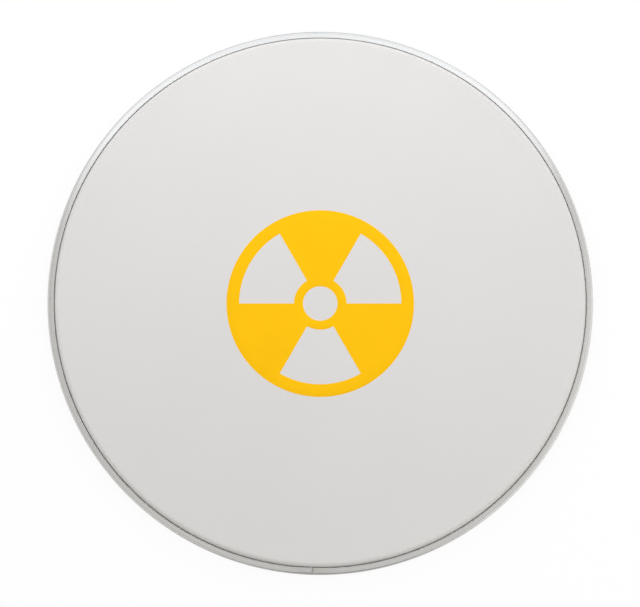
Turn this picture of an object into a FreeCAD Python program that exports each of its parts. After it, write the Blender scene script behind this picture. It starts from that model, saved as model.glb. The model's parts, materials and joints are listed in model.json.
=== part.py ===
"""A 14 inch coated drum head: a plastic film with a formed collar, locked into a metal flesh hoop."""
import FreeCAD, Part
import math
import os
import re
import Sketcher
from FreeCAD import Vector

# Sizes in millimetres and degrees. Heights are above the bottom of the hoop.
DIMENSIONS = (
    ("hoop_outer_radius", 185.0, "outside of the flesh hoop"),
    ("hoop_inner_radius", 179.0, "bore of the hoop, which the drum shell slides into"),
    ("hoop_height", 9.5, "inner edge of the lip, the highest point of the hoop"),
    ("hoop_wall", 0.8, "metal of the hoop"),
    ("hoop_bend", 0.7, "inside radius of the two bends at the floor of the channel"),
    ("lip_bend", 1.0, "inside radius of the bend between the outer wall and the lip"),
    ("lip_slope", 12.0, "fall of the lip towards the outside"),
    ("lip_radius", 180.7, "inner edge of the lip, which is one side of the mouth"),
    ("inner_wall_height", 7.2, "top of the channel's inner wall"),
    ("seam_gap", 0.15, "gap between the butting ends of the hoop"),
    ("seam_azimuth", 268.4, "place of the butt joint round the hoop"),
    ("splice_length", 30.0, "plate behind the butt joint, along the hoop"),
    ("splice_thickness", 0.6, "plate behind the butt joint, across the channel"),
    ("splice_bottom", 2.4, "lower edge of that plate"),
    ("splice_top", 6.6, "upper edge of that plate"),
    ("film_thickness", 0.25, "plastic film"),
    ("film_top", 16.1, "upper face of the film where it is flat"),
    ("flat_radius", 164.5, "edge of the flat part of the film"),
    ("rim_bend", 90.0, "radius of the bend from the flat into the rising rim"),
    ("rim_slope", 3.0, "rise of the rim towards the shoulder"),
    ("rim_radius", 177.1, "outer edge of the rim, where the shoulder starts"),
    ("shoulder_radius", 2.2, "outside radius of the bend from the rim into the collar"),
    ("collar_slope", 84.0, "slope of the collar"),
    ("foot_radius", 4.25, "outside radius of the bend from the collar into the skirt"),
    ("wire_radius", 1.0, "section of the lock wire"),
    ("wire_height", 2.6, "middle of the lock wire"),
    ("tail_top", 5.0, "end of the film beyond the lock wire"),
    ("resin_top", 7.0, "level of the resin in the channel"),
    ("coating_thickness", 0.06, "sprayed layer on the playing side"),
    ("coating_edge", 9.7, "lower edge of the sprayed layer on the collar"),
    ("ink_thickness", 0.05, "printed layer"),
    ("emblem_radius", 63.5, "outside of the printed disc"),
    ("hub_hole_radius", 11.7, "round hole in the middle of the disc"),
    ("hub_radius", 17.8, "inner ends of the three windows"),
    ("window_radius", 54.9, "outer ends of the three windows"),
    ("window_azimuth", -90.0, "middle of the first window"),
    ("window_span", 60.0, "opening angle of a window"),
    ("window_count", 3.0, "windows round the disc"),
    ("emblem_offset", 1.6, "middle of the disc, off the head's axis towards the butt joint"),
    ("ring_sectors", 8.0, "equal sectors that the hoop, the film and its coating are turned in"),
)
SIZE = {name: value for name, value, _ in DIMENSIONS}
SHEET = "Dimensions"

# Radii that several pieces share: the channel's two walls inside, the outer face of the film's
# skirt, the middle of the lock wire and the outer face of the film's tail. Then the angle that the
# butt joint leaves open.
CHANNEL_INSIDE = "hoop_inner_radius + hoop_wall"
CHANNEL_OUTSIDE = "hoop_outer_radius - hoop_wall"
SKIRT_FACE = f"{CHANNEL_INSIDE} + film_thickness"
WIRE_RING = f"{SKIRT_FACE} + wire_radius"
TAIL_FACE = f"{WIRE_RING} + wire_radius + film_thickness"
SEAM_ANGLE = "seam_gap / hoop_outer_radius * 180 / pi"

# Points of a sketched line or arc, and the sketch's own axes and origin.
START = 1
END = 2
CENTRE = 3
LEVEL_AXIS = -1
UPRIGHT_AXIS = -2
ORIGIN = (LEVEL_AXIS, START)

# Edges closer than this to a height lie at it.
TOUCH = 0.001


def make_sheet(doc):
    """Writes the driving dimensions into a spreadsheet, one named cell each."""
    sheet = doc.addObject("Spreadsheet::Sheet", SHEET)
    for row, (name, value, meaning) in enumerate(DIMENSIONS, start=1):
        sheet.set(f"A{row}", meaning)
        sheet.set(f"B{row}", str(value))
        sheet.setAlias(f"B{row}", name)
    doc.recompute()


def bind(target, path, formula):
    """Binds a property to a formula in the names of the spreadsheet's cells."""
    named = re.sub(r"[a-z_]+", lambda word: f"{SHEET}.{word[0]}" if word[0] in SIZE else word[0], formula)
    target.setExpression(path, named)


def add_body(doc, label):
    """Starts an empty body whose label names its file."""
    body = doc.addObject("PartDesign::Body", label)
    body.Label = label
    return body


def origin_feature(body, role):
    """Finds one of the body's own origin planes or axes."""
    return next(feature for feature in body.Origin.OriginFeatures if feature.Role == role)


def add_sketch(body, name, plane="XZ_Plane"):
    """Attaches an empty sketch to one of the body's own planes."""
    sketch = body.newObject("Sketcher::SketchObject", name)
    sketch.AttachmentSupport = (origin_feature(body, plane), [""])
    sketch.MapMode = "FlatFace"
    return sketch


def constrain(sketch, kind, *where):
    """Adds one constraint to a sketch."""
    return sketch.addConstraint(Sketcher.Constraint(kind, *where))


def drawn_size(sketch, kind, where):
    """Measures what a dimension describes, as it is drawn."""
    if kind == "Radius":
        return sketch.Geometry[where[0]].Radius
    if kind == "Angle":
        line = sketch.Geometry[where[0]]
        return math.atan2(line.EndPoint.y - line.StartPoint.y, line.EndPoint.x - line.StartPoint.x)
    points = [sketch.getPoint(*where[i : i + 2]) for i in range(0, len(where), 2)]
    span = points[-1] - points[0] if len(points) == 2 else points[0]
    return span.x if kind == "DistanceX" else span.y


def dimension(sketch, name, formula, kind, *where):
    """Adds a named dimension to a sketch and binds it to the spreadsheet."""
    index = constrain(sketch, kind, *where, drawn_size(sketch, kind, where))
    sketch.renameConstraint(index, name)
    bind(sketch, f"Constraints.{name}", formula)


class Strip:
    """The section of a strip of even thickness, drawn as runs and bends with both of its faces.

    The strip starts at a point of its left face and goes ahead from there. Each bend is tangent to
    the runs that it joins, and the two faces of a run are parallel.
    """

    def __init__(self, sketch, start, heading, thickness):
        self.sketch = sketch
        self.point = Vector(*start, 0)
        self.heading = heading
        self.offsets = (0, thickness)
        self.faces = ([], [])

    def direction(self, turned=0):
        """The direction ahead, or one turned to the left of it."""
        angle = math.radians(self.heading + turned)
        return Vector(math.cos(angle), math.sin(angle), 0)

    def join(self, face, index, first, last):
        """Joins a line or arc smoothly to the one before it on the same face."""
        if face:
            before, _, end = face[-1]
            constrain(self.sketch, "Tangent", before, end, index, first)
        face.append((index, first, last))

    def run(self, length):
        """Draws a straight run and returns its left and right lines."""
        step = self.direction() * length
        for face, offset in zip(self.faces, self.offsets):
            first = self.point - self.direction(90) * offset
            index = self.sketch.addGeometry(Part.LineSegment(first, first + step))
            self.join(face, index, START, END)
        pair = [face[-1][0] for face in self.faces]
        constrain(self.sketch, "Parallel", *pair)
        self.point += step
        return pair

    def bend(self, radius, turn):
        """Draws a bend, to the left if the turn is positive, and returns its left and right arcs."""
        side = math.copysign(1, turn)
        centre = self.point + self.direction(90) * radius * side
        first = self.heading - 90 * side
        limits = sorted(math.radians(angle) for angle in (first, first + turn))
        ends = (START, END) if side > 0 else (END, START)
        for face, offset in zip(self.faces, self.offsets):
            circle = Part.Circle(centre, Vector(0, 0, 1), radius + offset * side)
            index = self.sketch.addGeometry(Part.ArcOfCircle(circle, *limits))
            self.join(face, index, *ends)
        pair = [face[-1][0] for face in self.faces]
        constrain(self.sketch, "Coincident", pair[0], CENTRE, pair[1], CENTRE)
        self.heading += turn
        self.point = centre + self.direction(-90 * side) * radius
        return pair

    def close(self):
        """Closes the first and the last run with square ends."""
        for place, end in ((0, 1), (-1, 2)):
            left, right = [(face[place][0], face[place][end]) for face in self.faces]
            line = Part.LineSegment(self.sketch.getPoint(*left), self.sketch.getPoint(*right))
            cap = self.sketch.addGeometry(line)
            constrain(self.sketch, "Coincident", cap, START, *left)
            constrain(self.sketch, "Coincident", cap, END, *right)
            constrain(self.sketch, "Perpendicular", cap, left[0])


def revolve(body, sketch, angle="360"):
    """Revolves a section about the head's axis, half of the angle to each side."""
    turned = body.newObject("PartDesign::Revolution", f"{sketch.Name}_revolved")
    turned.Profile = sketch
    turned.ReferenceAxis = (sketch, ["V_Axis"])
    turned.Midplane = True
    bind(turned, "Angle", angle)
    body.Tip = turned
    return turned


def repeat_round(body, feature, count, angle):
    """Repeats a feature about the head's axis over an angle from the first to the last copy."""
    pattern = body.newObject("PartDesign::PolarPattern", f"{feature.Name}_repeated")
    pattern.Originals = [feature]
    pattern.Axis = (origin_feature(body, "Z_Axis"), [""])
    pattern.Refine = False
    bind(pattern, "Angle", angle)
    bind(pattern, "Occurrences", count)
    body.Tip = pattern


def turn_disc(body, sketch):
    """Turns a section into a full disc, in equal sectors."""
    first = revolve(body, sketch, "360 / ring_sectors")
    repeat_round(body, first, "ring_sectors", "360")


def outermost_edge(shape, height):
    """Names the widest round edge that lies at a height."""
    level = [
        (edge.Curve.Radius, i)
        for i, edge in enumerate(shape.Edges, start=1)
        if isinstance(edge.Curve, Part.Circle) and abs(edge.Curve.Center.z - height) < TOUCH
    ]
    return f"Edge{max(level)[1]}"


def turn_about_axis(body, formula):
    """Turns a body about the head's axis by a bound angle."""
    body.Placement = FreeCAD.Placement(Vector(), FreeCAD.Rotation(Vector(0, 0, 1), 1))
    bind(body, "Placement.Rotation.Angle", formula)


def total(formula):
    """Adds up a formula of named sizes with plus and minus signs."""
    terms = re.findall(r"(-?)\s*([a-z_]+)", formula)
    return sum(-SIZE[name] if sign else SIZE[name] for sign, name in terms)


def draw_section(sketch, radii, heights):
    """Draws a section with square corners, which goes across to each next radius and then up or down.

    The radii and heights are formulas. The section starts at the first of each and ends where it
    started, with as many upright sides as radii.
    """
    corners = []
    for i, height in enumerate(heights):
        for radius in (radii[i], radii[(i + 1) % len(radii)]):
            corners.append(Vector(total(radius), total(height), 0))
    count = len(corners)
    sides = [sketch.addGeometry(Part.LineSegment(corners[i], corners[(i + 1) % count])) for i in range(count)]
    for i, side in enumerate(sides):
        constrain(sketch, "Coincident", side, END, sides[(i + 1) % count], START)
        constrain(sketch, "Vertical" if i % 2 else "Horizontal", side)
    for i, (radius, height) in enumerate(zip(radii, heights)):
        dimension(sketch, f"radius_{i}", radius, "DistanceX", sides[2 * i], START)
        dimension(sketch, f"height_{i}", height, "DistanceY", sides[2 * i], START)


def flesh_hoop(doc):
    """The rolled channel: inner wall, floor, outer wall and a crowned lip that nearly closes it."""
    wall, floor_bend, lip_bend = SIZE["hoop_wall"], SIZE["hoop_bend"], SIZE["lip_bend"]
    slope = math.radians(SIZE["lip_slope"])
    crown = lip_bend + wall
    floor_edge = wall + floor_bend
    floor_length = SIZE["hoop_outer_radius"] - SIZE["hoop_inner_radius"] - 2 * floor_edge
    lip_reach = SIZE["hoop_outer_radius"] - crown * (1 - math.sin(slope)) - SIZE["lip_radius"]
    lip_start = SIZE["hoop_height"] - lip_reach * math.tan(slope)
    wall_top = lip_start - crown * math.cos(slope)

    body = add_body(doc, "flesh_hoop")
    sketch = add_sketch(body, "hoop_section")
    strip = Strip(sketch, (total(CHANNEL_INSIDE), SIZE["inner_wall_height"]), -90, wall)
    inner_wall = strip.run(SIZE["inner_wall_height"] - floor_edge)
    inner_corner = strip.bend(floor_bend, 90)
    floor = strip.run(floor_length)
    outer_corner = strip.bend(floor_bend, 90)
    outer_wall = strip.run(wall_top - floor_edge)
    lip_corner = strip.bend(lip_bend, 90 - SIZE["lip_slope"])
    lip = strip.run(lip_reach / math.cos(slope))
    strip.close()

    constrain(sketch, "Vertical", inner_wall[0])
    constrain(sketch, "Horizontal", floor[0])
    constrain(sketch, "Vertical", outer_wall[0])
    constrain(sketch, "PointOnObject", floor[1], START, LEVEL_AXIS)
    dimension(sketch, "bore", "hoop_inner_radius", "DistanceX", inner_wall[1], START)
    dimension(sketch, "wall", "hoop_wall", "DistanceX", inner_wall[1], START, inner_wall[0], START)
    dimension(sketch, "inner_wall_top", "inner_wall_height", "DistanceY", inner_wall[0], START)
    dimension(sketch, "inner_bend", "hoop_bend", "Radius", inner_corner[0])
    dimension(sketch, "outer_bend", "hoop_bend", "Radius", outer_corner[0])
    dimension(sketch, "outside", "hoop_outer_radius", "DistanceX", outer_wall[1], START)
    dimension(sketch, "crown_bend", "lip_bend", "Radius", lip_corner[0])
    dimension(sketch, "crown_slope", "180 - lip_slope", "Angle", lip[0])
    dimension(sketch, "mouth", "lip_radius", "DistanceX", lip[1], END)
    dimension(sketch, "height", "hoop_height", "DistanceY", lip[1], END)
    sector = f"(360 - {SEAM_ANGLE}) / ring_sectors"
    first = revolve(body, sketch, sector)
    repeat_round(body, first, "ring_sectors", f"(ring_sectors - 1) * {sector}")
    turn_about_axis(body, f"seam_azimuth + ({SEAM_ANGLE} + {sector}) / 2")
    return body


def joint_splice(doc):
    """The curved plate inside the outer wall, half to each side of the butt joint."""
    body = add_body(doc, "joint_splice")
    sketch = add_sketch(body, "splice_section")
    draw_section(
        sketch,
        (f"{CHANNEL_OUTSIDE} - splice_thickness", CHANNEL_OUTSIDE),
        ("splice_bottom", "splice_top"),
    )
    revolve(body, sketch, "splice_length / hoop_outer_radius * 180 / pi")
    turn_about_axis(body, "seam_azimuth")
    return body


def draw_circle(sketch, centre_radius, height, section_radius):
    """Draws the round section of a ring."""
    centre = Vector(total(centre_radius), total(height), 0)
    circle = sketch.addGeometry(Part.Circle(centre, Vector(0, 0, 1), total(section_radius)))
    dimension(sketch, "section", section_radius, "Radius", circle)
    dimension(sketch, "ring", centre_radius, "DistanceX", circle, CENTRE)
    dimension(sketch, "middle", height, "DistanceY", circle, CENTRE)


def lock_wire(doc):
    """The wire ring, which lies in the hook of the film."""
    body = add_body(doc, "lock_wire")
    sketch = add_sketch(body, "wire_section")
    draw_circle(sketch, WIRE_RING, "wire_height", "wire_radius")
    revolve(body, sketch)
    return body


def draw_playing_side(strip):
    """Draws the part of the playing side that the film and its coating share."""
    flat = strip.run(SIZE["flat_radius"])
    rim_corner = strip.bend(SIZE["rim_bend"], SIZE["rim_slope"])
    rim = strip.run((SIZE["rim_radius"] - strip.point.x) / math.cos(math.radians(SIZE["rim_slope"])))
    return flat, rim_corner, rim


def fix_playing_side(sketch, flat, rim, thickness, upper):
    """Dimensions that part; upper says which face of the layer is the top of the film."""
    constrain(sketch, "Horizontal", flat[0])
    constrain(sketch, "PointOnObject", flat[0], START, UPRIGHT_AXIS)
    dimension(sketch, "thickness", thickness, "DistanceY", flat[1], START, flat[0], START)
    dimension(sketch, "level", "film_top", "DistanceY", flat[upper], START)
    dimension(sketch, "flat_edge", "flat_radius", "DistanceX", flat[upper], END)
    dimension(sketch, "rim_rise", "rim_slope", "Angle", rim[upper])
    dimension(sketch, "rim_edge", "rim_radius", "DistanceX", rim[upper], END)


def drum_film(doc):
    """The film: flat, rising rim, shoulder, collar, skirt in the channel, and a hook round the wire."""
    slope = math.radians(SIZE["collar_slope"])
    skirt_radius = total(SKIRT_FACE)

    body = add_body(doc, "drum_film")
    sketch = add_sketch(body, "film_section")
    strip = Strip(sketch, (0, SIZE["film_top"]), 0, SIZE["film_thickness"])
    flat, rim_corner, rim = draw_playing_side(strip)
    shoulder = strip.bend(SIZE["shoulder_radius"], -SIZE["rim_slope"] - SIZE["collar_slope"])
    foot_reach = SIZE["foot_radius"] * (1 - math.sin(slope))
    collar = strip.run((skirt_radius - foot_reach - strip.point.x) / math.cos(slope))
    foot = strip.bend(SIZE["foot_radius"], SIZE["collar_slope"] - 90)
    skirt = strip.run(strip.point.y - SIZE["wire_height"])
    hook = strip.bend(SIZE["wire_radius"], 180)
    tail = strip.run(SIZE["tail_top"] - SIZE["wire_height"])
    strip.close()

    constrain(sketch, "Vertical", skirt[0])
    constrain(sketch, "Vertical", tail[0])
    fix_playing_side(sketch, flat, rim, "film_thickness", upper=0)
    dimension(sketch, "rim_bend", "rim_bend", "Radius", rim_corner[0])
    dimension(sketch, "shoulder_bend", "shoulder_radius", "Radius", shoulder[0])
    dimension(sketch, "collar_fall", "-collar_slope", "Angle", collar[0])
    dimension(sketch, "foot_bend", "foot_radius", "Radius", foot[0])
    dimension(sketch, "skirt_place", CHANNEL_INSIDE, "DistanceX", skirt[1], START)
    dimension(sketch, "hook_bend", "wire_radius", "Radius", hook[0])
    dimension(sketch, "hook_height", "wire_height", "DistanceY", hook[0], CENTRE)
    dimension(sketch, "tail_end", "tail_top", "DistanceY", tail[0], END)
    turn_disc(body, sketch)
    return body


def white_coating(doc):
    """The sprayed layer on the flat, the rim, the shoulder and the collar of the film."""
    slope = math.radians(SIZE["collar_slope"])
    thickness = SIZE["coating_thickness"]

    body = add_body(doc, "white_coating")
    sketch = add_sketch(body, "coating_section")
    strip = Strip(sketch, (0, SIZE["film_top"] + thickness), 0, thickness)
    flat, rim_corner, rim = draw_playing_side(strip)
    shoulder = strip.bend(SIZE["shoulder_radius"] + thickness, -SIZE["rim_slope"] - SIZE["collar_slope"])
    collar = strip.run((strip.point.y - SIZE["coating_edge"]) / math.sin(slope))
    strip.close()

    fix_playing_side(sketch, flat, rim, "coating_thickness", upper=1)
    dimension(sketch, "rim_bend", "rim_bend", "Radius", rim_corner[1])
    dimension(sketch, "shoulder_bend", "shoulder_radius", "Radius", shoulder[1])
    dimension(sketch, "collar_fall", "-collar_slope", "Angle", collar[0])
    dimension(sketch, "edge", "coating_edge", "DistanceY", collar[1], END)
    turn_disc(body, sketch)
    return body


def resin_bead(doc, splice):
    """The resin: above the film's tail, down the outer wall and under the hook, round the splice."""
    body = add_body(doc, "channel_fill")
    sketch = add_sketch(body, "fill_section")
    draw_section(
        sketch,
        (WIRE_RING, CHANNEL_OUTSIDE, SKIRT_FACE, TAIL_FACE),
        ("hoop_wall", "resin_top", "tail_top", "wire_height"),
    )
    revolve(body, sketch)

    hook = add_sketch(body, "hook_section")
    draw_circle(hook, WIRE_RING, "wire_height", "wire_radius + film_thickness")
    hollow = body.newObject("PartDesign::Groove", "hook_hollow")
    hollow.Profile = hook
    hollow.ReferenceAxis = (hook, ["V_Axis"])
    hollow.Angle = 360
    body.Tip = hollow
    doc.recompute()

    corner = body.newObject("PartDesign::Fillet", "channel_corner")
    corner.Base = (hollow, [outermost_edge(hollow.Shape, SIZE["hoop_wall"])])
    bind(corner, "Radius", "hoop_bend")
    body.Tip = corner

    resin = doc.addObject("Part::Cut", "resin_bead")
    resin.Base = body
    resin.Tool = splice
    return resin


def raise_to_coating(sketch):
    """Lifts a flat sketch onto the top of the coating."""
    bind(sketch, "AttachmentOffset.Base.z", "film_top + coating_thickness")


def draw_window(sketch):
    """Draws one window of the emblem: two arcs about the middle, joined by two spokes."""
    middle, half = SIZE["window_azimuth"], SIZE["window_span"] / 2
    angles = [math.radians(middle - half), math.radians(middle + half)]
    arcs = []
    for name in ("hub_radius", "window_radius"):
        circle = Part.Circle(Vector(), Vector(0, 0, 1), SIZE[name])
        arc = sketch.addGeometry(Part.ArcOfCircle(circle, *angles))
        constrain(sketch, "Coincident", arc, CENTRE, *ORIGIN)
        dimension(sketch, name, name, "Radius", arc)
        arcs.append(arc)
    for side, end, sign in (("right", START, "-"), ("left", END, "+")):
        points = [sketch.getPoint(arc, end) for arc in arcs]
        spoke = sketch.addGeometry(Part.LineSegment(*points))
        constrain(sketch, "Coincident", spoke, START, arcs[0], end)
        constrain(sketch, "Coincident", spoke, END, arcs[1], end)
        constrain(sketch, "PointOnObject", *ORIGIN, spoke)
        dimension(sketch, f"{side}_spoke", f"window_azimuth {sign} window_span / 2", "Angle", spoke)


def printed_emblem(doc):
    """The printed disc: a ring of ink with a round hole and three windows."""
    body = add_body(doc, "printed_emblem")
    bind(body, "Placement.Base.y", "-emblem_offset")
    disc = add_sketch(body, "emblem_disc", "XY_Plane")
    raise_to_coating(disc)
    for name in ("emblem_radius", "hub_hole_radius"):
        circle = disc.addGeometry(Part.Circle(Vector(), Vector(0, 0, 1), SIZE[name]))
        constrain(disc, "Coincident", circle, CENTRE, *ORIGIN)
        dimension(disc, name, name, "Radius", circle)
    layer = body.newObject("PartDesign::Pad", "emblem_layer")
    layer.Profile = disc
    bind(layer, "Length", "ink_thickness")

    opening = add_sketch(body, "emblem_window", "XY_Plane")
    raise_to_coating(opening)
    draw_window(opening)
    window = body.newObject("PartDesign::Pocket", "first_window")
    window.Profile = opening
    window.Type = "ThroughAll"
    window.Reversed = True

    repeat_round(body, window, "window_count", "360")
    return body


def check(doc, pieces):
    """Stops with an error if anything failed to build."""
    for item in doc.Objects:
        if {"Invalid", "Error"} & set(item.State):
            raise RuntimeError(f"{item.Label} failed: {item.State}")
        if item.isDerivedFrom("Sketcher::SketchObject") and not item.FullyConstrained:
            raise RuntimeError(f"{item.Label} is not fully constrained")
    for piece in pieces:
        if piece.Shape.isNull() or not piece.Shape.isValid() or not piece.Shape.Solids:
            raise RuntimeError(f"{piece.Label} has no valid solid")


def main():
    doc = FreeCAD.newDocument("drum_head")
    make_sheet(doc)
    hoop = flesh_hoop(doc)
    splice = joint_splice(doc)
    wire = lock_wire(doc)
    film = drum_film(doc)
    resin = resin_bead(doc, splice)
    coating = white_coating(doc)
    emblem = printed_emblem(doc)
    doc.recompute()

    pieces = (hoop, splice, wire, film, resin, coating, emblem)
    check(doc, pieces)
    os.makedirs("parts", exist_ok=True)
    for piece in pieces:
        piece.Shape.exportStep(f"parts/{piece.Label}.step")
        print(f"{piece.Label}: {len(piece.Shape.Solids)} solid, {piece.Shape.Volume:.1f} mm3")


main()
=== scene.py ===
"""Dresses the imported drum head: a rolled metal hoop, a coated film with a print, and a plain stage."""
import json
import math

import bmesh
import bpy
from bpy.props import FloatProperty, FloatVectorProperty, IntProperty, PointerProperty
from bpy.types import Operator, Panel, PropertyGroup
from mathutils import Matrix, Vector


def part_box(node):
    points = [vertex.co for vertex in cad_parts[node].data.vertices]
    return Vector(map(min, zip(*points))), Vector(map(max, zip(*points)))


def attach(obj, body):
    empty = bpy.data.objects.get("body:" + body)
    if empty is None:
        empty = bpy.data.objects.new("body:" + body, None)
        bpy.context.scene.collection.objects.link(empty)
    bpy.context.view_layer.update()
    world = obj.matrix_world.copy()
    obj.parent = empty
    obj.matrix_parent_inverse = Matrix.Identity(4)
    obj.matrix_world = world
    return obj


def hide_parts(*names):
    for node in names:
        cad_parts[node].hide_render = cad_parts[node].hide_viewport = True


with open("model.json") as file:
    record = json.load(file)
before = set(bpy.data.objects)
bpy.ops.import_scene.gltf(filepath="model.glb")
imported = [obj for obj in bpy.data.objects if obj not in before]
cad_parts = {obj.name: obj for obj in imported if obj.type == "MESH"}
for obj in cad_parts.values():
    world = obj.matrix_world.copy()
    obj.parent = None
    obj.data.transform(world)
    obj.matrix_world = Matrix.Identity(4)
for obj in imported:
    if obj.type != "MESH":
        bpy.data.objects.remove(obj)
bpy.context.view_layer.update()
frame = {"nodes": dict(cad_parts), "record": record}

bl_info = {
    "name": "Drum Head",
    "version": (1, 0, 0),
    "blender": (4, 5, 0),
    "location": "View3D > Sidebar > Drum Head",
    "description": "Models the visible surfaces of a coated drum head on its packed frame",
    "category": "Object",
}

MM = 0.001
BODY = "root"
MOUNTS = {mount["name"]: mount for mount in frame["record"]["mounts"]}
FINISHES = {finish["slot"]: finish["base_color"] for finish in frame["record"]["materials"]}

# Width of the photograph in pixels, which sets the camera's field.
PHOTO_WIDTH = 640

# Edges that turn by more than this are square ones, and are eased.
SQUARE_TURN = math.radians(60)

# Edges that turn by more than this are shaded as sharp ones.
SHARP_TURN = math.radians(40)

# Bends get one segment for about this much turn.
BEND_STEP = math.radians(9)

# Points closer than this are one point.
WELD = 1e-7

# Slow waves of the lip: how many go round the hoop, their size, and the angle that they start at.
LIP_WAVES = ((5, 1.0, 0.6), (11, 0.6, 2.1), (17, 0.4, 0.0))

# Where the ceiling's light sets in and is full, and where the foot of the walls does, going down.
# Both are heights on a room of radius 1.
CEILING_EDGE = (0.55, 0.85)
FOOT_EDGE = (0.42, 0.12)

# Share of its reach over which a patch of the room has its full strength.
PATCH_CORE = {"key": 0.6, "dark": 0.5, "top": 0.6}

WHITE = (1.0, 1.0, 1.0, 1.0)


def length(name, description, default):
    """A size in metres."""
    return FloatProperty(name=name, description=description, default=default, precision=5, unit="LENGTH")


def angle(name, description, degrees):
    """An angle, given in degrees and kept in radians."""
    return FloatProperty(
        name=name, description=description, default=math.radians(degrees), subtype="ANGLE", unit="ROTATION"
    )


def share(name, description, default):
    """A plain number from 0 up."""
    return FloatProperty(name=name, description=description, default=default, min=0.0)


def count(name, description, default):
    """A whole number."""
    return IntProperty(name=name, description=description, default=default, min=1)


def colour(name, description, default):
    """A linear colour."""
    return FloatVectorProperty(
        name=name, description=description, default=default, size=3, min=0.0, max=1.0, subtype="COLOR"
    )


class HoopSettings(PropertyGroup):
    """The rolled channel of metal round the edge."""

    outside: length("Outside", "Outer radius of the hoop", MOUNTS["counterhoop_fit"]["dims"]["r_mm"] * MM)
    bore: length("Bore", "Inner radius of the hoop", MOUNTS["shell_bore"]["dims"]["r_mm"] * MM)
    top: length("Top", "Height of the lip's inner edge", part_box("flesh_hoop")[1].z)
    wall: length("Wall", "Thickness of the rolled strip", 0.8 * MM)
    floor_bend: length("Floor bend", "Outside radius of the two bends at the floor", 1.5 * MM)
    lip_bend: length("Lip bend", "Outside radius of the bend under the lip", 1.3 * MM)
    lean: length("Lean", "How far the outer wall's foot stands inside its top", 0.25 * MM)
    lip_edge: length("Lip edge", "Radius at which the lip ends", 180.76 * MM)
    lip_middle: length("Lip middle", "Radius at which the lip's crown bends", 182.8 * MM)
    inner_slope: angle("Inner slope", "Fall of the lip inside its crown", 10.5)
    outer_slope: angle("Outer slope", "Fall of the lip outside its crown", 15)
    crown: length("Crown", "Length of the lip that the crown's bend takes on each side", 1.5 * MM)
    inner_wall: length("Inner wall", "Height of the channel's inner wall", 7.2 * MM)
    edge: length("Edge", "Rounding of the strip's cut edges", 0.16 * MM)
    gap: length("Gap", "Gap at the butt joint", 0.06 * MM)
    joint: angle("Joint", "Place of the butt joint round the hoop", 268.4)
    joint_zone: angle("Joint zone", "Stretch at each end of the strip with finer steps", 8)
    zone_steps: count("Zone steps", "Steps in each of those stretches", 40)
    steps: count("Steps", "Steps round the rest of the hoop", 440)
    burr: length("Burr", "How far one end of the lip stands inwards at the joint", 0.28 * MM)
    burr_reach: length("Burr reach", "Length of that end which stands inwards", 12.0 * MM)
    tip: length("Tip", "How much further the last of that end stands inwards", 0.35 * MM)
    tip_reach: length("Tip reach", "Length of that last stretch", 1.8 * MM)
    lip_start: length("Lip start", "Height at which the burr and the waves set in", 6.8 * MM)
    lip_rise: length("Lip rise", "Height over which they grow to their full size", 1.6 * MM)
    wave: length("Wave", "Unevenness of the lip's height round the hoop", 0.035 * MM)
    drift: length("Drift", "How much narrower the mouth is on one side and wider on the other", 0.04 * MM)
    drift_side: angle("Drift side", "Place of the narrowest stretch of the mouth", 88)
    metal: colour("Metal", "Colour of the clean metal", (0.65, 0.65, 0.645))
    stain: colour("Stain", "Colour of the tarnish beside the joint", (0.6, 0.565, 0.51))


class FilmSettings(PropertyGroup):
    """The plastic film and the sprayed coating on it."""

    top: length("Top", "Upper face of the film where it is flat", 16.1 * MM)
    thickness: length("Thickness", "Thickness of the film", 0.25 * MM)
    flat: length("Flat", "Radius at which the flat's line meets the rim's line", 166.86 * MM)
    rim_bend: length("Rim bend", "Radius of the bend from the flat into the rim", 90 * MM)
    rim_slope: angle("Rim slope", "Rise of the rim towards the shoulder", 3)
    shoulder: length("Shoulder", "Radius at which the rim's line meets the collar's line", 179.2 * MM)
    shoulder_bend: length("Shoulder bend", "Radius of the bend from the rim into the collar", 2.2 * MM)
    collar_slope: angle("Collar slope", "Fall of the collar", 84)
    foot_bend: length("Foot bend", "Radius of the bend from the collar into the skirt", 4.25 * MM)
    skirt: length("Skirt", "Radius of the skirt's outer face", 180.05 * MM)
    hook_bend: length("Hook bend", "Radius of the hook round the lock wire", 1.0 * MM)
    hook_height: length("Hook height", "Height of the hook's middle", 2.6 * MM)
    tail: length("Tail", "Height at which the film ends beyond the hook", 5.0 * MM)
    coating: length("Coating", "Thickness of the sprayed layer", 0.06 * MM)
    coating_edge: length("Coating edge", "Height at which the sprayed layer ends on the collar", 9.7 * MM)
    flat_rings: count("Flat rings", "Rings of faces across the flat", 18)
    steps: count("Steps", "Steps round the film", 480)
    white: colour("White", "Colour of the coating", (0.71, 0.702, 0.695))
    clear: colour("Clear", "Colour of the film's underside over the coating", FINISHES["film_plastic"])


class PrintSettings(PropertyGroup):
    """The printed disc."""

    outside: length("Outside", "Outer radius of the disc", 63.5 * MM)
    hole: length("Hole", "Radius of the hole in the middle", 11.7 * MM)
    hub: length("Hub", "Radius at which the windows start", 17.8 * MM)
    window: length("Window", "Radius at which the windows end", 54.9 * MM)
    windows: count("Windows", "Number of windows", 3)
    first: angle("First window", "Middle of one window", -90)
    span: angle("Span", "Opening angle of a window", 60)
    thickness: length("Thickness", "Thickness of the ink", 0.05 * MM)
    edge: length("Edge", "Rounding of the ink's edge", 0.02 * MM)
    steps: count("Steps", "Steps round the disc", 360)
    bands: count("Bands", "Rings of faces across the windows", 8)
    ink: colour("Ink", "Colour of the ink", (1.0, 0.555, 0.004))


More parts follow.
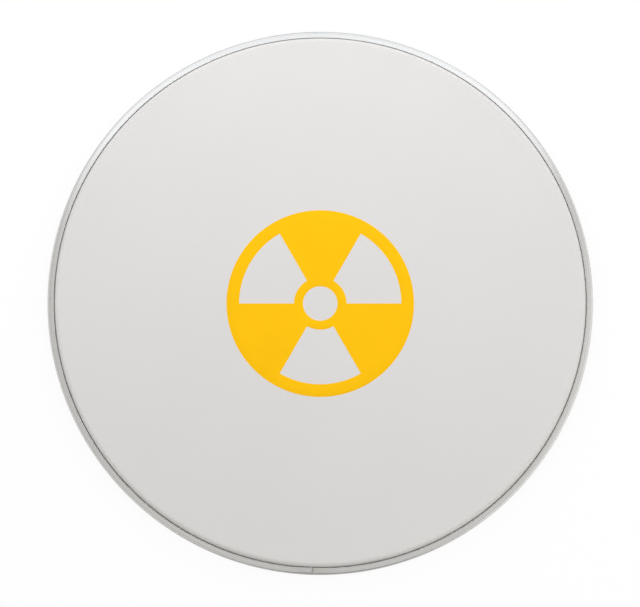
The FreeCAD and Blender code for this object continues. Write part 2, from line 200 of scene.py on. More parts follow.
class ResinSettings(PropertyGroup):
    """The resin in the channel of the hoop."""

    tail: length("Tail", "Radius of the outer face of the film's tail", 182.3 * MM)
    bottom: length("Bottom", "Floor of the channel", 0.8 * MM)
    top: length("Top", "Level of the resin", 7.0 * MM)
    creep: length("Creep", "How far the resin climbs the outer wall", 0.25 * MM)
    creep_width: length("Creep width", "Width of that climb", 0.5 * MM)
    mouth_creep: length("Mouth creep", "How far the resin climbs the film under the mouth", 1.5 * MM)
    mouth_width: length("Mouth width", "Width of that climb", 1.2 * MM)
    creep_bend: length("Creep bend", "Reach of the bend at the foot of the outer climb", 0.2 * MM)
    mouth_bend: length("Mouth bend", "Reach of the bend at the foot of the climb under the mouth", 0.6 * MM)
    tilt: length("Tilt", "How much higher the resin stands on one side, and lower on the other", 0.3 * MM)
    tilt_side: angle("Tilt side", "Place of the highest resin", 78)
    steps: count("Steps", "Steps round the resin", 360)
    cast: colour("Cast", "Colour of the set resin", (0.9, 0.885, 0.86))


class StageSettings(PropertyGroup):
    """The camera, the lamps and the floor."""

    elevation: angle("Elevation", "Camera above the horizon", 84.4)
    distance: length("Distance", "Camera from the middle of the head", 6.0)
    scale: length("Scale", "Width of one pixel of the photograph at the head", 0.67856 * MM)
    aim_across: length("Aim across", "Point that the camera looks at, across the head", -0.16 * MM)
    aim_along: length("Aim along", "Point that the camera looks at, along the head", -0.47 * MM)
    aim_height: length("Aim height", "Point that the camera looks at, above the floor", 4.4 * MM)
    key_azimuth: angle("Key azimuth", "Place of the main softbox round the head", 93)
    key_tilt: angle("Key tilt", "Main softbox away from straight overhead", 50)
    key_distance: length("Key distance", "Main softbox from the head", 0.55)
    key_width: length("Key width", "Width of the main softbox", 0.8)
    key_height: length("Key height", "Height of the main softbox", 0.55)
    key_power: share("Key power", "Power of the main softbox in watts", 1.64)
    key_light: colour("Key light", "Colour of the main softbox", (0.94, 0.965, 1.0))
    key_reach: angle("Key reach", "Spread of the dark flag behind the main softbox", 42)
    flag_depth: share("Flag depth", "How much light the flag takes away", 0.85)
    fill_azimuth: angle("Fill azimuth", "Place of the second softbox round the head", -12)
    fill_tilt: angle("Fill tilt", "Second softbox away from straight overhead", 62)
    fill_distance: length("Fill distance", "Second softbox from the head", 0.6)
    fill_width: length("Fill width", "Width of the second softbox", 1.3)
    fill_height: length("Fill height", "Height of the second softbox", 0.5)
    fill_power: share("Fill power", "Power of the second softbox in watts", 0.58)
    fill_light: colour("Fill light", "Colour of the second softbox", (1.0, 0.99, 0.97))
    top_azimuth: angle("Top azimuth", "Place of the lamp overhead round the head", 90)
    top_tilt: angle("Top tilt", "Lamp overhead away from straight overhead", 8)
    top_reach: angle("Top reach", "Spread of the lamp overhead", 12)
    top_light: share("Top light", "Light of the lamp overhead", 2.8)
    ceiling: share("Ceiling", "Light from the ceiling", 0.77)
    walls: share("Walls", "Light from the walls of the room", 1.05)
    horizon: share("Horizon", "Light from the foot of the walls", 0.8)
    dark_azimuth: angle("Dark azimuth", "Place of the room's dark side round the head", 272)
    dark_tilt: angle("Dark tilt", "Dark side away from straight overhead", 85)
    dark_reach: angle("Dark reach", "How far the dark side spreads", 44)
    dark_depth: share("Dark depth", "How much light the dark side lacks", 0.9)
    room: colour("Room", "Colour of the room's light", (1.0, 0.98, 0.957))
    floor_size: length("Floor size", "Side of the floor", 60.0)
    floor: colour("Floor", "Colour of the floor", (0.82, 0.82, 0.82))
    floor_white: share("Floor white", "Share of plain white in the floor as the camera sees it", 0.92)


class Socket:
    """One output of a shader tree. Arithmetic on it adds Math nodes."""

    def __init__(self, shader, output):
        self.shader = shader
        self.output = output

    def __add__(self, other):
        return self.shader.math("ADD", self, other)

    def __radd__(self, other):
        return self.shader.math("ADD", other, self)

    def __sub__(self, other):
        return self.shader.math("SUBTRACT", self, other)

    def __rsub__(self, other):
        return self.shader.math("SUBTRACT", other, self)

    def __mul__(self, other):
        return self.shader.math("MULTIPLY", self, other)

    def __rmul__(self, other):
        return self.shader.math("MULTIPLY", other, self)

    def __pow__(self, other):
        return self.shader.math("POWER", self, other)


class Shader:
    """The node tree of one material or of the world."""

    def __init__(self, owner):
        owner.use_nodes = True
        self.tree = owner.node_tree
        self.tree.nodes.clear()

    def node(self, kind, settings=None, inputs=None, output=0):
        """Adds a node, sets its settings first and then its sockets, and returns an output if it has one."""
        node = self.tree.nodes.new(kind)
        for name, value in (settings or {}).items():
            setattr(node, name, value)
        for name, value in (inputs or {}).items():
            if isinstance(value, Socket):
                self.tree.links.new(value.output, node.inputs[name])
            else:
                node.inputs[name].default_value = value
        return Socket(self, node.outputs[output]) if node.outputs else None

    def math(self, operation, *values):
        """One Math node."""
        return self.node("ShaderNodeMath", {"operation": operation}, dict(enumerate(values)))

    def split(self, vector):
        """The three parts of a vector."""
        return [self.node("ShaderNodeSeparateXYZ", None, {"Vector": vector}, i) for i in range(3)]

    def join(self, x, y, z):
        """A vector of three parts."""
        return self.node("ShaderNodeCombineXYZ", None, {"X": x, "Y": y, "Z": z})

    def position(self):
        """Object coordinates, which are the head's own frame in metres."""
        return self.node("ShaderNodeTexCoord", None, None, "Object")

    def noise(self, vector, scale, detail=2.0, roughness=0.5):
        """Soft noise around 0.5, with a scale in cells per metre."""
        settings = {"noise_dimensions": "3D"}
        inputs = {"Vector": vector, "Scale": scale, "Detail": detail, "Roughness": roughness}
        return self.node("ShaderNodeTexNoise", settings, inputs, "Fac")

    def drawn_noise(self, x, y, across, along_scale, across_scale, detail):
        """Noise drawn out round the head, with its scales in cells per metre along and across."""
        stretched = self.join(x * along_scale, y * along_scale, across * across_scale)
        return self.noise(stretched, 1.0, detail, 0.6)

    def cells(self, vector, scale):
        """The distance to the nearest of scattered points, in cells."""
        return self.node("ShaderNodeTexVoronoi", None, {"Vector": vector, "Scale": scale}, "Distance")

    def ease(self, value, low, high):
        """0 below low, 1 above high and a smooth rise between them; low may be the larger one."""
        inputs = {"Value": value, "From Min": low, "From Max": high}
        return self.node("ShaderNodeMapRange", {"interpolation_type": "SMOOTHSTEP"}, inputs, "Result")

    def band(self, value, middle, half):
        """1 at a value, falling smoothly to 0 at a distance from it."""
        return self.ease(self.math("ABSOLUTE", value - middle), half, 0.0)

    def mix(self, factor, first, second):
        """Mixes two colours."""
        inputs = {0: factor, 6: first, 7: second}
        return self.node("ShaderNodeMix", {"data_type": "RGBA"}, inputs, 2)

    def bump(self, height, distance, strength=1.0):
        """A normal that follows a height of 0 to 1 over a distance."""
        inputs = {"Height": height, "Distance": distance, "Strength": strength}
        return self.node("ShaderNodeBump", None, inputs)

    def surface(self, inputs):
        """Ends the tree in a Principled shader."""
        closure = self.node("ShaderNodeBsdfPrincipled", None, inputs)
        self.node("ShaderNodeOutputMaterial", None, {"Surface": closure})


def new_shader(name):
    """A new material and its empty tree."""
    material = bpy.data.materials.new(name)
    return material, Shader(material)


def shade(colour, factor):
    """A colour times a number, for a socket that holds a colour."""
    return (*[min(1.0, channel * factor) for channel in colour], 1.0)


def joint_place(shader, x, y, joint):
    """The way along the hoop from its joint, and a mask that is 1 on the joint's side of the head."""
    along = x * -math.sin(joint) + y * math.cos(joint)
    out = x * math.cos(joint) + y * math.sin(joint)
    return along, shader.ease(out, 0.0, 100.0 * MM)


def rolled_metal(hoop):
    """Rolled hoop strip: streaks, rolling lines, smudges, a darker stretch and grime at the joint, and
    painted shade by the mouth and on the wall.
    """
    material, shader = new_shader("rolled_metal")
    x, y, z = shader.split(shader.position())
    radius = (x * x + y * y) ** 0.5
    along, near = joint_place(shader, x, y, hoop.joint)

    def tint(mask, tone, lightness):
        """Brings a tone towards the clean metal times a number."""
        return shader.mix(mask, tone, shade(hoop.metal, lightness))

    broad = shader.drawn_noise(x, y, radius - z, 9, 900, 3.0)
    fine = shader.drawn_noise(x, y, radius - z, 30, 5200, 2.0)
    streak = broad * 0.6 + fine * 0.4
    smudge = shader.noise(shader.position(), 55.0, 3.0, 0.55)

    # Round the whole hoop: the lines that the rollers left, painted shade on the lip's inner part by the
    # mouth, and painted shade and dark reflection on the wall.
    pale_middle = hoop.lip_middle - 0.4 * MM
    dark_line = shader.band(radius, hoop.lip_middle + 0.5 * MM, 0.45 * MM)
    pale_line = shader.band(radius, pale_middle, 0.45 * MM)
    lip_inner_shade = shader.ease(radius, hoop.lip_edge + 1.14 * MM, hoop.lip_edge + 0.54 * MM)
    mouth_edge_shade = shader.ease(radius, hoop.lip_edge + 0.79 * MM, hoop.lip_edge + 0.29 * MM)
    # Painted shade and dark reflection: the hoop below its lip, with its outer wall, is painted darker.
    wall = shader.ease(z, hoop.top - 1.5 * MM, hoop.top - 2.3 * MM)

    # Beside the joint: a darker stretch, tarnish after it, grime in it and a rubbed spot before it.
    darker_by_joint = shader.band(along, 0.0, 26.0 * MM) * near
    stain = shader.ease(along, 16.0 * MM, 0.0) * shader.ease(along, -0.2 * MM, 0.2 * MM) * near
    on_lip = shader.ease(radius, hoop.outside - 1.0 * MM, hoop.outside - 2.0 * MM)
    grime = shader.band(along, 0.05 * MM, 0.7 * MM) * on_lip * near
    spot = shader.band(along, -3.2 * MM, 1.2 * MM) * shader.band(radius, pale_middle, 1.0 * MM) * near

    tone = shader.mix(shader.ease(streak, 0.36, 0.64), shade(hoop.metal, 0.94), shade(hoop.metal, 1.05))
    tone = tint(shader.ease(smudge, 0.45, 0.75) * 0.35, tone, 0.86)
    tone = tint(dark_line * 0.5, tone, 0.88)
    tone = tint(pale_line * 0.5, tone, 1.1)
    # Painted shade on the lip beside the mouth, darkest at the lip's edge.
    tone = tint(lip_inner_shade * 0.8, tone, 0.88)
    tone = tint(mouth_edge_shade * 0.9, tone, 0.74)
    tone = tint(darker_by_joint * 0.8, tone, 0.86)
    tone = shader.mix(stain * 0.5, tone, shade(hoop.stain, 1.0))
    tone = tint(grime * 0.85, tone, 0.35)
    tone = tint(spot * 0.9, tone, 1.2)
    # Painted shade and dark reflection on the wall below the lip.
    tone = tint(wall, tone, 0.5)
    shader.surface({
        "Base Color": tone,
        "Metallic": 1.0,
        "Roughness": 0.17 + streak * 0.14 + smudge * 0.06 - wall * 0.04 - spot * 0.08,
        "Normal": shader.bump(broad, 0.02 * MM, 0.3),
    })
    return material


def coating_grain(shader):
    """The fine pebbles of the sprayed layer, which also show through the ink."""
    return shader.noise(shader.position(), 1500.0, 3.0, 0.55)


def sprayed_coating(film):
    """Sprayed white layer: a fine pebbled grain and faint clouds."""
    material, shader = new_shader("sprayed_coating")
    place = shader.position()
    pebble = coating_grain(shader)
    grit = shader.cells(place, 2600.0)
    cloud = shader.noise(place, 16.0, 3.0, 0.5)
    height = pebble * 0.75 + grit * 0.25
    tone = shader.mix(shader.ease(cloud, 0.3, 0.7), shade(film.white, 0.992), shade(film.white, 1.008))
    tone = shader.mix(shader.ease(height, 0.3, 0.6), shade(film.white, 0.975), tone)
    shader.surface({
        "Base Color": tone,
        "Roughness": 0.52 + pebble * 0.16,
        "Specular IOR Level": 0.4,
        "Normal": shader.bump(height, 0.03 * MM, 0.4),
    })
    return material


def clear_film(film):
    """Smooth clear film over the white layer: glossy, with a slight haze and hairline scratches."""
    material, shader = new_shader("clear_film")
    place = shader.position()
    x, y, z = shader.split(place)
    haze = shader.noise(place, 24.0, 3.0, 0.55)
    hair = shader.noise(shader.join(x * 40 + y * 900, y * 40 - x * 900, z * 40), 1.0, 2.0, 0.6)
    ripple = shader.noise(place, 70.0, 2.0, 0.5)
    tone = shader.mix(shader.ease(haze, 0.3, 0.7), shade(film.clear, 0.97), shade(film.clear, 1.0))
    shader.surface({
        "Base Color": tone,
        "Roughness": 0.12 + haze * 0.1 + shader.ease(hair, 0.68, 0.76) * 0.15,
        "Normal": shader.bump(ripple, 0.05 * MM, 0.3),
    })
    return material


def screen_ink(ink):
    """Screen printed ink: the coating's grain under it, the screen's fine mesh and uneven cover."""
    material, shader = new_shader("screen_ink")
    place = shader.position()
    x, y, _ = shader.split(place)
    pebble = coating_grain(shader)
    cloud = shader.noise(place, 45.0, 3.0, 0.55)
    mesh = shader.math("SINE", (x + y) * 9000) * shader.math("SINE", (x - y) * 9000)
    tone = shader.mix(shader.ease(cloud, 0.3, 0.75), shade(ink, 1.0), shade(ink, 0.97))
    shader.surface({
        "Base Color": tone,
        "Roughness": 0.56 + pebble * 0.14,
        "Specular IOR Level": 0.06,
        "Normal": shader.bump(pebble + mesh * 0.06, 0.03 * MM, 0.3),
    })
    return material


def set_resin(cast, joint):
    """Cast resin: glossy, clouded, with small bubbles at the top and painted shade in the slit beside the
    hoop's joint.
    """
    material, shader = new_shader("set_resin")
    place = shader.position()
    cloud = shader.noise(place, 140.0, 4.0, 0.6)
    bubble = shader.ease(shader.cells(place, 700.0), 0.28, 0.12)
    x, y, _ = shader.split(place)
    along, near = joint_place(shader, x, y, joint)
    # Painted shade: the resin darker in the slit beside the joint, where the burr narrows the slit and its
    # shade is deeper.
    joint_shade = shader.band(along, -5.0 * MM, 9.0 * MM) * near
    tone = shader.mix(shader.ease(cloud, 0.3, 0.7), shade(cast, 0.8), shade(cast, 1.0))
    tone = shader.mix(joint_shade * 0.85, tone, shade(cast, 0.15))
    shader.surface({
        "Base Color": tone,
        "Roughness": 0.26 + cloud * 0.2,
        "Normal": shader.bump(cloud * 0.6 - bubble * 0.4, 0.1 * MM, 0.6),
    })
    return material


def drawn_steel():
    """Drawn wire: fine die lines along it and a light bloom."""
    material, shader = new_shader("drawn_steel")
    base = FINISHES["wire_steel"]
    x, y, z = shader.split(shader.position())
    radius = (x * x + y * y) ** 0.5
    line = shader.drawn_noise(x, y, radius + z * 1.7, 20, 9000, 2.0)
    bloom = shader.noise(shader.position(), 120.0, 3.0, 0.55)
    tone = shader.mix(shader.ease(bloom, 0.35, 0.75), shade(base, 1.0), shade(base, 0.8))
    shader.surface({
        "Base Color": tone,
        "Metallic": 1.0,
        "Roughness": 0.24 + line * 0.2,
        "Normal": shader.bump(line, 0.02 * MM, 0.5),
    })
    return material


def mill_metal():
    """Mill finish of the splice: rolling lines along it and grey oxide."""
    material, shader = new_shader("mill_metal")
    base = FINISHES["splice_metal"]
    x, y, z = shader.split(shader.position())
    line = shader.drawn_noise(x, y, z, 60, 8000, 3.0)
    oxide = shader.noise(shader.position(), 260.0, 3.0, 0.6)
    tone = shader.mix(shader.ease(oxide, 0.35, 0.7), shade(base, 1.0), shade(base, 0.75))
    shader.surface({
        "Base Color": tone,
        "Metallic": 1.0,
        "Roughness": 0.36 + line * 0.18,
        "Normal": shader.bump(line, 0.02 * MM, 0.5),
    })
    return material


def bend_segments(turn):
    """How many segments a bend gets."""
    return max(2, math.ceil(turn / BEND_STEP))


def round_corner(bm, corner, before, after, reach):
    """Rounds one corner of a wire or a section over a reach to each side."""
    turn = (corner.co - before).angle(after - corner.co)
    bmesh.ops.bevel(
        bm, geom=[corner], offset=reach, offset_type="OFFSET", affect="VERTICES",
        segments=bend_segments(turn), profile=0.5, material=-1,
    )


def bend_reach(before, corner, after, radius):
    """How far from its corner a bend of a radius starts."""
    turn = (corner - before).angle(after - corner)
    return radius * math.tan(turn / 2)


def section_points(corners):
    """The places of corners (radius, height, bend) in the plane of X and Z."""
    return [Vector((radius, 0, height)) for radius, height, _ in corners]


def draw_path(bm, corners):
    """Draws a wire through corners (radius, height, reach of the bend)."""
    points = section_points(corners)
    verts = [bm.verts.new(point) for point in points]
    for pair in zip(verts, verts[1:]):
        bm.edges.new(pair)
    for i in range(1, len(verts) - 1):
        if corners[i][2]:
            round_corner(bm, verts[i], points[i - 1], points[i + 1], corners[i][2])


def draw_outline(bm, corners):
    """Draws a closed wire round corners (radius, height, reach of the bend)."""
    points = section_points(corners)
    verts = [bm.verts.new(point) for point in points]
    bm.faces.new(verts)
    for i, (_, _, reach) in enumerate(corners):
        if reach:
            round_corner(bm, verts[i], points[i - 1], points[(i + 1) % len(points)], reach)
    bmesh.ops.delete(bm, geom=bm.faces[:], context="FACES_ONLY")


def spin_about_axis(bm, start, spans):
    """Turns what is drawn to an azimuth and spins it on from there, span by span, by (angle, steps)."""
    full = math.isclose(sum(turn for turn, _ in spans), math.tau)
    bmesh.ops.rotate(bm, verts=bm.verts[:], cent=(0, 0, 0), matrix=Matrix.Rotation(start, 3, "Z"))
    geom = bm.verts[:] + bm.edges[:] + bm.faces[:]
    for turn, steps in spans:
        spun = bmesh.ops.spin(
            bm, geom=geom, cent=(0, 0, 0), axis=(0, 0, 1), angle=turn, steps=steps, use_merge=full
        )
        geom = spun["geom_last"]
    bmesh.ops.remove_doubles(bm, verts=bm.verts[:], dist=WELD)
    bmesh.ops.dissolve_degenerate(bm, edges=bm.edges[:], dist=WELD)
    bmesh.ops.recalc_face_normals(bm, faces=bm.faces[:])


def face_upwards(bm):
    """Turns an open skin so that its highest face looks up."""
    highest = max(bm.faces, key=lambda face: face.calc_center_median().z)
    if highest.normal.z < 0:
        bmesh.ops.reverse_faces(bm, faces=bm.faces[:])


def thicken(bm, thickness):
    """Gives a skin its thickness, below its faces if the thickness is positive."""
    bmesh.ops.solidify(bm, geom=bm.faces[:], thickness=thickness)


def square_edges(bm):
    """The edges at which a piece turns square."""
    return [edge for edge in bm.edges if edge.is_manifold and edge.calc_face_angle() > SQUARE_TURN]


def ease_edges(bm, edges, size, segments):
    """Rounds edges of a piece."""
    bmesh.ops.bevel(
        bm, geom=edges, offset=size, offset_type="OFFSET", affect="EDGES",
        segments=segments, profile=0.5, material=-1, clamp_overlap=True,
    )


def make_piece(bm, name, material, node):
    """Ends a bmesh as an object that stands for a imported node."""
    loose = [edge for edge in bm.edges if not edge.is_manifold]
    if loose:
        raise RuntimeError(f"{name} isn't closed: {len(loose)} loose edges")
    if bm.calc_volume(signed=True) <= 0:
        bmesh.ops.reverse_faces(bm, faces=bm.faces[:])
    mesh = bpy.data.meshes.new(name)
    bm.to_mesh(mesh)
    bm.free()
    mesh.shade_smooth()
    mesh.set_sharp_from_angle(angle=SHARP_TURN)
    mesh.materials.append(material)
    piece = bpy.data.objects.new(name, mesh)
    bpy.context.scene.collection.objects.link(piece)
    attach(piece, BODY)
    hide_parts(node)
    return piece


def dress_node(node, material):
    """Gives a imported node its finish."""
    slots = frame["nodes"][node].data.materials
    slots.clear()
    slots.append(material)


def hoop_corners(hoop):
    """The outer face of the rolled strip, from the top of the inner wall to the inner edge of the lip."""
    middle_height = hoop.top - (hoop.lip_middle - hoop.lip_edge) * math.tan(hoop.inner_slope)
    corner_height = middle_height - (hoop.outside - hoop.lip_middle) * math.tan(hoop.outer_slope)
    points = [
        (hoop.bore, hoop.inner_wall),
        (hoop.bore, 0.0),
        (hoop.outside - hoop.lean, 0.0),
        (hoop.outside, corner_height),
        (hoop.lip_middle, middle_height),
        (hoop.lip_edge, hoop.top),
    ]
    lip_reach = hoop.lip_bend * math.tan(math.pi / 4 - hoop.outer_slope / 2)
    reaches = (0, hoop.floor_bend, hoop.floor_bend, lip_reach, hoop.crown, 0)
    return [(*point, reach) for point, reach in zip(points, reaches)]


def channel_radius(hoop, height):
    """Radius of the inner face of the channel's leaning outer wall at a height."""
    _, top, _ = hoop_corners(hoop)[3]
    return hoop.outside - hoop.wall - hoop.lean * (1 - height / top)


def clamped(value):
    """A value held between 0 and 1."""
    return max(0.0, min(1.0, value))


def shape_lip(bm, hoop):
    """Presses one end of the lip inwards at the joint, and gives the lip its waves and drift."""
    crest = sum(size for _, size, _ in LIP_WAVES)
    for vert in bm.verts:
        azimuth = math.atan2(vert.co.y, vert.co.x)
        radius = math.hypot(vert.co.x, vert.co.y)
        lip = clamped((vert.co.z - hoop.lip_start) / hoop.lip_rise)
        inner = clamped((hoop.outside - radius) / (hoop.outside - hoop.lip_edge))
        behind = (hoop.joint - hoop.gap / 2 / hoop.outside - azimuth) % math.tau * radius
        press = hoop.burr * clamped(1 - (behind / hoop.burr_reach) ** 2)
        press += hoop.tip * clamped(1 - behind / hoop.tip_reach)
        drift = hoop.drift * math.cos(azimuth - hoop.drift_side) * inner ** 2
        scale = 1 - (press + drift) * lip / radius
        wave = sum(size * math.sin(azimuth * number + start) for number, size, start in LIP_WAVES)
        vert.co.x *= scale
        vert.co.y *= scale
        vert.co.z += hoop.wave * (wave / crest - 1) * lip * inner


def film_corners(film):
    """The upper face of the film, from the axis to the end of its tail."""
    rim_rise = (film.shoulder - film.flat) * math.tan(film.rim_slope)
    collar_fall = (film.skirt - film.shoulder) * math.tan(film.collar_slope)
    shoulder_height = film.top + rim_rise
    hook_bottom = film.hook_height - film.hook_bend
    tail_radius = film.skirt + 2 * film.hook_bend
    return [
        (0.0, film.top, 0),
        (film.flat, film.top, film.rim_bend),
        (film.shoulder, shoulder_height, film.shoulder_bend),
        (film.skirt, shoulder_height - collar_fall, film.foot_bend),
        (film.skirt, hook_bottom, film.hook_bend),
        (tail_radius, hook_bottom, film.hook_bend),
        (tail_radius, film.tail, 0),
    ]


def with_reaches(corners):
    """Turns the bend radii of corners into reaches."""
    points = section_points(corners)
    reached = []
    for i, (radius, height, bend) in enumerate(corners):
        inside = 0 < i < len(corners) - 1
        reach = bend_reach(points[i - 1], points[i], points[i + 1], bend) if inside and bend else 0
        reached.append((radius, height, reach))
    return reached


def divide_flat(bm, film):
    """Divides the long flat run of the film's wire into rings."""
    longest = max(bm.edges, key=lambda edge: edge.calc_length())
    bmesh.ops.subdivide_edges(bm, edges=[longest], cuts=film.flat_rings - 1)


class DRUMHEAD_OT_hoop(Operator):
    """Roll the metal hoop, with its crowned lip and butt joint"""

    bl_idname = "drum_head.hoop"
    bl_label = "Flesh Hoop"

    def execute(self, context):
        hoop = context.scene.drum_hoop
        bm = bmesh.new()
        draw_path(bm, hoop_corners(hoop))
        half_gap = hoop.gap / 2 / hoop.outside
        rest = math.tau - 2 * half_gap - 2 * hoop.joint_zone
        zone = (hoop.joint_zone, hoop.zone_steps)
        spin_about_axis(bm, hoop.joint + half_gap, [zone, (rest, hoop.steps), zone])
        face_upwards(bm)
        thicken(bm, hoop.wall)
        shape_lip(bm, hoop)
        ease_edges(bm, square_edges(bm), hoop.edge, segments=3)
        make_piece(bm, "rolled_hoop", rolled_metal(hoop), "flesh_hoop")
        return {"FINISHED"}


class DRUMHEAD_OT_film(Operator):
    """Form the film, from its flat to the hook round the lock wire"""

    bl_idname = "drum_head.film"
    bl_label = "Film"

    def execute(self, context):
        film = context.scene.drum_film
        bm = bmesh.new()
        draw_path(bm, with_reaches(film_corners(film)))
        divide_flat(bm, film)
        spin_about_axis(bm, 0.0, [(math.tau, film.steps)])
        face_upwards(bm)
        thicken(bm, film.thickness)
        make_piece(bm, "formed_film", clear_film(film), "drum_film")
        return {"FINISHED"}


class DRUMHEAD_OT_coating(Operator):
    """Spray the white layer onto the film"""

    bl_idname = "drum_head.coating"
    bl_label = "Coating"

    def execute(self, context):
        film = context.scene.drum_film
        flat, rim, shoulder, foot = with_reaches(film_corners(film))[:4]
        share_down = (shoulder[1] - film.coating_edge) / (shoulder[1] - foot[1])
        edge = (shoulder[0] + (foot[0] - shoulder[0]) * share_down, film.coating_edge, 0)
        bm = bmesh.new()
        draw_path(bm, [flat, rim, shoulder, edge])
        divide_flat(bm, film)
        spin_about_axis(bm, 0.0, [(math.tau, film.steps)])
        face_upwards(bm)
        thicken(bm, -film.coating)
        make_piece(bm, "sprayed_layer", sprayed_coating(film), "white_coating")
        return {"FINISHED"}


def draw_disc(bm, disc):
    """Draws the disc as rings of faces from its hole outwards, with rings at both ends of the windows."""
    bmesh.ops.create_circle(bm, cap_ends=False, segments=disc.steps, radius=disc.hole)
    edges = bm.edges[:]
    reached = disc.hole
    radii = [disc.hub + (disc.window - disc.hub) * i / disc.bands for i in range(disc.bands + 1)]
    for radius in (*radii, disc.outside):
        widened = bmesh.ops.extrude_edge_only(bm, edges=edges)["geom"]
        verts = [item for item in widened if isinstance(item, bmesh.types.BMVert)]
        edges = [item for item in widened if isinstance(item, bmesh.types.BMEdge) and item.is_boundary]
        bmesh.ops.scale(bm, vec=(radius / reached, radius / reached, 1), verts=verts)
        reached = radius


def in_window(face, disc):
    """Whether a face of the disc lies in one of its windows."""
    middle = face.calc_center_median()
    if not disc.hub < middle.length < disc.window:
        return False
    pitch = math.tau / disc.windows
    turned = (math.atan2(middle.y, middle.x) - disc.first + disc.span / 2) % pitch
    return turned < disc.span


class DRUMHEAD_OT_print(Operator):
    """Print the disc with its hub and windows"""

    bl_idname = "drum_head.print"
    bl_label = "Print"

    def execute(self, context):
        disc = context.scene.drum_print
        low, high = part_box("printed_emblem")
        centre = Vector(((low.x + high.x) / 2, (low.y + high.y) / 2, low.z))
        half_way = centre.z + disc.thickness / 2
        bm = bmesh.new()
        draw_disc(bm, disc)
        bmesh.ops.delete(bm, geom=[face for face in bm.faces if in_window(face, disc)], context="FACES")
        bmesh.ops.recalc_face_normals(bm, faces=bm.faces[:])
        face_upwards(bm)
        thicken(bm, -disc.thickness)
        bmesh.ops.translate(bm, vec=centre, verts=bm.verts[:])
        upper = [edge for edge in square_edges(bm) if min(vert.co.z for vert in edge.verts) > half_way]
        ease_edges(bm, upper, disc.edge, segments=2)
        make_piece(bm, "printed_disc", screen_ink(disc.ink), "printed_emblem")
        return {"FINISHED"}


def resin_corners(resin, film, hoop):
    """The outline of the resin: under the hook, up the leaning wall, over to the mouth and round the tail."""
    wire = film.skirt + film.hook_bend
    crest = resin.top + resin.creep
    outer_hook = film.hook_bend + film.thickness
    return [
        (wire, resin.bottom, 0),
        (channel_radius(hoop, resin.bottom), resin.bottom, hoop.floor_bend - hoop.wall),
        (channel_radius(hoop, crest), crest, 0),
        (channel_radius(hoop, resin.top) - resin.creep_width, resin.top, resin.creep_bend),
        (film.skirt + resin.mouth_width, resin.top, resin.mouth_bend),
        (film.skirt, resin.top + resin.mouth_creep, 0),
        (film.skirt, film.tail, 0),
        (resin.tail, film.tail, 0),
        (resin.tail, film.hook_height, 0),
        (resin.tail, film.hook_height - outer_hook, outer_hook),
        (wire, film.hook_height - outer_hook, 0),
    ]


class DRUMHEAD_OT_resin(Operator):
    """Cast the resin into the channel of the hoop"""

    bl_idname = "drum_head.resin"
    bl_label = "Resin"

    def execute(self, context):
        resin = context.scene.drum_resin
        film = context.scene.drum_film
        hoop = context.scene.drum_hoop
        bm = bmesh.new()
        draw_outline(bm, resin_corners(resin, film, hoop))
        spin_about_axis(bm, 0.0, [(math.tau, resin.steps)])
        for vert in bm.verts:
            if vert.co.z > film.tail + WELD:
                vert.co.z += resin.tilt * math.cos(math.atan2(vert.co.y, vert.co.x) - resin.tilt_side)
        finish = set_resin(resin.cast, hoop.joint)
        make_piece(bm, "cast_resin", finish, "resin_bead")
        return {"FINISHED"}


class DRUMHEAD_OT_inner_metal(Operator):
    """Finish the lock wire and the splice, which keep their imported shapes"""

    bl_idname = "drum_head.inner_metal"
    bl_label = "Wire and Splice"

    def execute(self, context):
        dress_node("lock_wire", drawn_steel())
        dress_node("joint_splice", mill_metal())
        return {"FINISHED"}


def pale_floor(stage):
    """A pale floor that is seen as white, also in gloss, and still takes the head's shadow."""
    material, shader = new_shader("pale_floor")
    rays = ("Is Camera Ray", "Is Glossy Ray", "Is Transmission Ray")
    camera, glossy, passed = [shader.node("ShaderNodeLightPath", None, None, ray) for ray in rays]
    mirrored = shader.math("MAXIMUM", glossy, passed)
    seen = shader.math("MAXIMUM", camera, mirrored)
    grain = shader.noise(shader.position(), 9.0, 3.0, 0.5)
    tone = shader.mix(shader.ease(grain, 0.2, 0.8), shade(stage.floor, 0.995), shade(stage.floor, 1.005))
    matt = shader.node("ShaderNodeBsdfDiffuse", None, {"Color": shader.mix(seen, tone, WHITE)})
    white = shader.node("ShaderNodeEmission", None, {"Color": WHITE, "Strength": 1.0})
    mixed = shader.node("ShaderNodeMixShader", None, {0: camera * stage.floor_white, 1: matt, 2: white})
    shader.node("ShaderNodeOutputMaterial", None, {"Surface": mixed})
    return material


def lay_floor(stage):
    """The floor, which isn't part of the head."""
    bm = bmesh.new()
    bmesh.ops.create_grid(bm, x_segments=1, y_segments=1, size=stage.floor_size / 2)
    mesh = bpy.data.meshes.new("floor")
    bm.to_mesh(mesh)
    bm.free()
    mesh.materials.append(pale_floor(stage))
    floor = bpy.data.objects.new("floor", mesh)
    bpy.context.scene.collection.objects.link(floor)


def room_side(stage, name):
    """The direction from the head to a softbox or to a patch of the room."""
    azimuth = getattr(stage, f"{name}_azimuth")
    tilt = getattr(stage, f"{name}_tilt")
    return Vector((math.sin(tilt) * math.cos(azimuth), math.sin(tilt) * math.sin(azimuth), math.cos(tilt)))


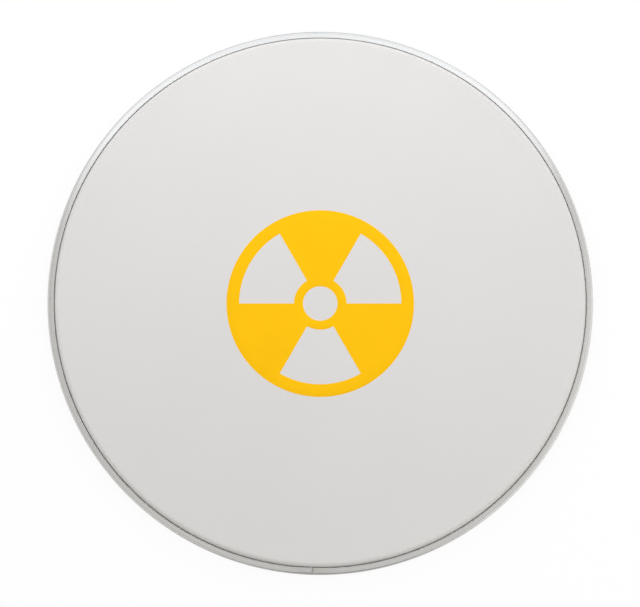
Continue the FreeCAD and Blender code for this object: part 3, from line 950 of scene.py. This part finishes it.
def light_room(stage):
    """A plain pale room with a lamp overhead, a dark flag behind the main softbox and a darker side."""
    world = bpy.data.worlds.new("plain_room")
    shader = Shader(world)
    # The normal of a world points from the room to the head, so its signs are turned below.
    x, y, z = shader.split(shader.node("ShaderNodeTexCoord", None, None, "Normal"))
    up = 0 - z

    def patch(name):
        """1 in a round patch of the room, easing off to 0 from its core to its reach."""
        side = room_side(stage, name)
        reach = getattr(stage, f"{name}_reach")
        towards = 0 - (x * side.x + y * side.y + z * side.z)
        return shader.ease(towards, math.cos(reach), math.cos(reach * PATCH_CORE[name]))

    overhead = shader.ease(up, *CEILING_EDGE)
    foot = shader.ease(up, *FOOT_EDGE)
    level = stage.walls + overhead * (stage.ceiling - stage.walls) + foot * (stage.horizon - stage.walls)
    level = level * (1 - patch("key") * stage.flag_depth) * (1 - patch("dark") * stage.dark_depth)
    level = level + patch("top") * stage.top_light
    sky = shader.node("ShaderNodeBackground", None, {"Color": (*stage.room, 1.0), "Strength": level})
    shader.node("ShaderNodeOutputWorld", None, {"Surface": sky})
    bpy.context.scene.world = world


def hang_softbox(stage, name):
    """One softbox, turned towards the head."""
    towards = room_side(stage, name)
    lamp = bpy.data.lights.new(name, "AREA")
    lamp.shape = "RECTANGLE"
    lamp.size = getattr(stage, f"{name}_width")
    lamp.size_y = getattr(stage, f"{name}_height")
    lamp.energy = getattr(stage, f"{name}_power")
    lamp.color = getattr(stage, f"{name}_light")
    softbox = bpy.data.objects.new(f"{name}_softbox", lamp)
    softbox.location = towards * getattr(stage, f"{name}_distance")
    softbox.rotation_euler = towards.to_track_quat("Z", "Y").to_euler()
    softbox.visible_camera = False
    bpy.context.scene.collection.objects.link(softbox)


def set_camera(stage):
    """A long lens that frames the head as the photograph does."""
    camera = bpy.data.cameras.new("camera")
    camera.sensor_width = 36.0
    camera.lens = camera.sensor_width * stage.distance / (PHOTO_WIDTH * stage.scale)
    camera.clip_end = 100.0
    back = Vector((0.0, -math.cos(stage.elevation), math.sin(stage.elevation)))
    eye = bpy.data.objects.new("camera", camera)
    eye.location = Vector((stage.aim_across, stage.aim_along, stage.aim_height)) + back * stage.distance
    eye.rotation_euler = back.to_track_quat("Z", "Y").to_euler()
    bpy.context.scene.collection.objects.link(eye)
    bpy.context.scene.camera = eye


class DRUMHEAD_OT_stage(Operator):
    """Set up the floor, the light and the camera"""

    bl_idname = "drum_head.stage"
    bl_label = "Stage"

    def execute(self, context):
        stage = context.scene.drum_stage
        lay_floor(stage)
        light_room(stage)
        hang_softbox(stage, "key")
        hang_softbox(stage, "fill")
        set_camera(stage)
        context.scene.view_settings.view_transform = "Standard"
        return {"FINISHED"}


class DRUMHEAD_PT_pieces(Panel):
    """The pieces of the drum head, in the order they are made"""

    bl_label = "Drum Head"
    bl_idname = "DRUMHEAD_PT_pieces"
    bl_space_type = "VIEW_3D"
    bl_region_type = "UI"
    bl_category = "Drum Head"

    def draw(self, context):
        for operator in OPERATORS:
            self.layout.operator(operator.bl_idname)


SETTINGS = {
    "drum_hoop": HoopSettings,
    "drum_film": FilmSettings,
    "drum_print": PrintSettings,
    "drum_resin": ResinSettings,
    "drum_stage": StageSettings,
}
OPERATORS = (
    DRUMHEAD_OT_stage,
    DRUMHEAD_OT_hoop,
    DRUMHEAD_OT_film,
    DRUMHEAD_OT_coating,
    DRUMHEAD_OT_print,
    DRUMHEAD_OT_resin,
    DRUMHEAD_OT_inner_metal,
)
CLASSES = (*SETTINGS.values(), *OPERATORS, DRUMHEAD_PT_pieces)


def register():
    """Adds the classes and the settings."""
    for cls in CLASSES:
        bpy.utils.register_class(cls)
    for name, group in SETTINGS.items():
        setattr(bpy.types.Scene, name, PointerProperty(type=group))


def unregister():
    """Takes them away again."""
    for name in SETTINGS:
        delattr(bpy.types.Scene, name)
    for cls in reversed(CLASSES):
        bpy.utils.unregister_class(cls)


def main():
    """Makes the stage and every piece."""
    register()
    for operator in OPERATORS:
        group, name = operator.bl_idname.split(".")
        getattr(getattr(bpy.ops, group), name)()


if __name__ == "__main__":
    main()
